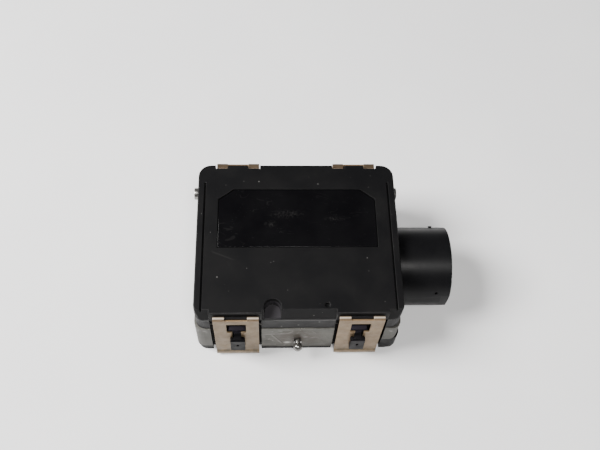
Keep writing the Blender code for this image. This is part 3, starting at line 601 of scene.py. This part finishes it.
def bend_fingers(node):
    """Gives a spring clip's fingers a real bend where they turn in over the cover."""
    low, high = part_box(node)
    side = math.copysign(1.0, low.y + high.y)
    face = side * CLIP_PLATE * MM

    def shape(bm):
        bend = [edge for edge in bm.edges
                if all(abs(v.co.z - high.z) < 0.01 * MM and abs(v.co.y - face) < 0.01 * MM
                       for v in edge.verts)]
        bmesh.ops.bevel(bm, geom=bend, offset=0.75 * MM, offset_type="OFFSET", segments=4,
                        profile=0.5, affect="EDGES", clamp_overlap=True)
    return shape


def turned_piece(name, node, profile, start, direction):
    """A lathe-turned solid: (radius, distance) pairs in mm along a direction from start."""
    bm = bmesh.new()
    points = [bm.verts.new((radius * MM, 0, along * MM)) for radius, along in profile]
    lines = [bm.edges.new(pair) for pair in zip(points, points[1:])]
    bmesh.ops.spin(bm, geom=points + lines, cent=(0, 0, 0), axis=(0, 0, 1),
                   angle=math.tau, steps=48, use_merge=True)
    bmesh.ops.remove_doubles(bm, verts=bm.verts, dist=0.001 * MM)
    turn = Vector((0, 0, 1)).rotation_difference(Vector(direction)).to_matrix().to_4x4()
    bmesh.ops.transform(bm, matrix=Matrix.Translation(start) @ turn, verts=bm.verts)
    bmesh.ops.recalc_face_normals(bm, faces=bm.faces)
    mesh = bpy.data.meshes.new(name)
    bm.to_mesh(mesh)
    bm.free()
    mesh.shade_smooth()
    mesh.set_sharp_from_angle(angle=math.radians(TURNED_SHARP_ANGLE))
    return add_piece(name, mesh, node, [look_of(node)])


def arc(radius, start, end, count):
    """(radius, distance) pairs round a ball, from one angle off its axis to another."""
    for step in range(count + 1):
        turn = math.radians(start + (end - start) * step / count)
        yield radius * math.sin(turn), radius * math.cos(turn)


def build_ball():
    """Ball, neck, collar and shank; distances run from the ball's tip into the housing."""
    low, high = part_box("ball_stud")
    length = (high.y - low.y) / MM
    centre_x = (low.x + high.x) / 2
    centre_z = (low.z + high.z) / 2
    ball = [(r, BALL_RADIUS - z) for r, z in arc(BALL_RADIUS, 0.0, 146.0, 16)]
    profile = [(0.0, 0.0)] + ball[1:] + [
        (1.35, 4.45), (1.75, 4.60), (1.98, 4.75), (2.0, 4.95), (2.0, 5.65), (1.9, 5.8),
        (1.3, 5.85), (1.3, length - 0.4), (0.9, length), (0.0, length)]
    turned_piece("ball_stud_turned", "ball_stud", profile, (centre_x, low.y, centre_z), (0, 1, 0))


def build_pins():
    for side, sign in (("left", -1.0), ("right", 1.0)):
        node = f"side_pin_{side}"
        low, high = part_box(node)
        tip = high.x if sign > 0 else low.x
        length = (high.x - low.x) / MM
        head = abs(tip) / MM - PIN_SEAT
        profile = [(0.0, 0.35), (1.1, 0.35), (1.4, 0.0), (2.6, 0.0), (2.95, 0.12), (3.08, 0.45),
                   (3.08, head - 0.1), (2.9, head), (2.3, head), (2.3, length - 0.3),
                   (1.9, length), (0.0, length)]
        start = (tip, (low.y + high.y) / 2, (low.z + high.z) / 2)
        turned_piece(f"{node}_turned", node, profile, start, (-sign, 0, 0))


def build_stage():
    """Pale floor that curves up far behind the part."""
    floor_mesh = bpy.data.meshes.new("floor")
    reach, lift, steps = 6.0, 3.0, 12
    flat_end, bend = 2.2, 1.2
    rows = [(-reach, 0.0), (flat_end, 0.0)]
    for index in range(1, steps + 1):
        turn = math.pi / 2 * index / steps
        rows.append((flat_end + bend * math.sin(turn), bend - bend * math.cos(turn)))
    rows.append((flat_end + bend, lift + bend))
    points = [(x, y, z) for y, z in rows for x in (-reach, reach)]
    faces = [(i, i + 1, i + 3, i + 2) for i in range(0, len(points) - 2, 2)]
    floor_mesh.from_pydata(points, [], faces)
    floor_mesh.shade_smooth()
    paint = Paint("floor_paper", specular=0.2)
    colour = paint.mix(paint.step(paint.noise(0.01, 3.0), 0.3, 0.7), (0.72, 0.72, 0.73),
                       (0.75, 0.75, 0.755))
    floor_mesh.materials.append(paint.finish(colour, 0.75, paint.noise(0.8, 3.0), 0.02, 0.2))
    floor = bpy.data.objects.new("floor", floor_mesh)
    bpy.context.scene.collection.objects.link(floor)


def add_light(name, place, size, power, colour=(1.0, 1.0, 1.0)):
    data = bpy.data.lights.new(name, "AREA")
    data.shape = "RECTANGLE"
    data.size, data.size_y = size
    data.energy = power
    data.color = colour
    lamp = bpy.data.objects.new(name, data)
    lamp.location = place
    aim = Vector(LIGHT_TARGET) - Vector(place)
    lamp.rotation_euler = aim.to_track_quat("-Z", "Y").to_euler()
    bpy.context.scene.collection.objects.link(lamp)


def build_lights():
    add_light("key", (-0.84, 0.02, 0.98), (0.50, 0.60), 46.0, (1.0, 0.99, 0.975))
    add_light("camera_side", (0.06, -0.50, 1.12), (0.36, 0.18), 14.0, (1.0, 0.985, 0.965))
    add_light("right_fill", (1.1, -0.30, 0.50), (0.6, 0.5), 0.5)
    add_light("back_fill", (-0.5, 1.2, 0.22), (0.9, 0.30), 0.35)
    world = bpy.data.worlds.new("studio")
    world.use_nodes = True
    background = world.node_tree.nodes["Background"]
    background.inputs["Color"].default_value = (0.86, 0.88, 0.90, 1.0)
    background.inputs["Strength"].default_value = 0.055
    bpy.context.scene.world = world


def build_camera():
    data = bpy.data.cameras.new("camera")
    data.sensor_width = 36.0
    data.lens = 48.0
    data.clip_start = 0.01
    camera = bpy.data.objects.new("camera", data)
    stance = Matrix.Translation(CAMERA_PLACE)
    for degrees, axis in CAMERA_TURNS:
        stance = stance @ Matrix.Rotation(math.radians(degrees), 4, axis)
    camera.matrix_world = stance
    bpy.context.scene.collection.objects.link(camera)
    bpy.context.scene.camera = camera


CLIP_PLACES = [f"{row}_{column}" for row in ("front", "back") for column in ("left", "right")]

dress_frame()
polish("front_cover", 0.22)
polish("window_panel", 0.15)
polish("upper_frame", 0.25)
polish("lower_housing", 0.35)
polish("rear_cover", 0.35)
polish("connector_shroud", 0.35)
polish("contact_carrier", 0.2)
for place in CLIP_PLACES:
    polish(f"spring_clip_{place}", 0.14, before=bend_fingers(f"spring_clip_{place}"))
    polish(f"clip_peg_{place}", 0.25)
for index in range(1, 9):
    polish(f"contact_{index}", 0.18)
build_ball()
build_pins()
build_stage()
build_lights()
build_camera()
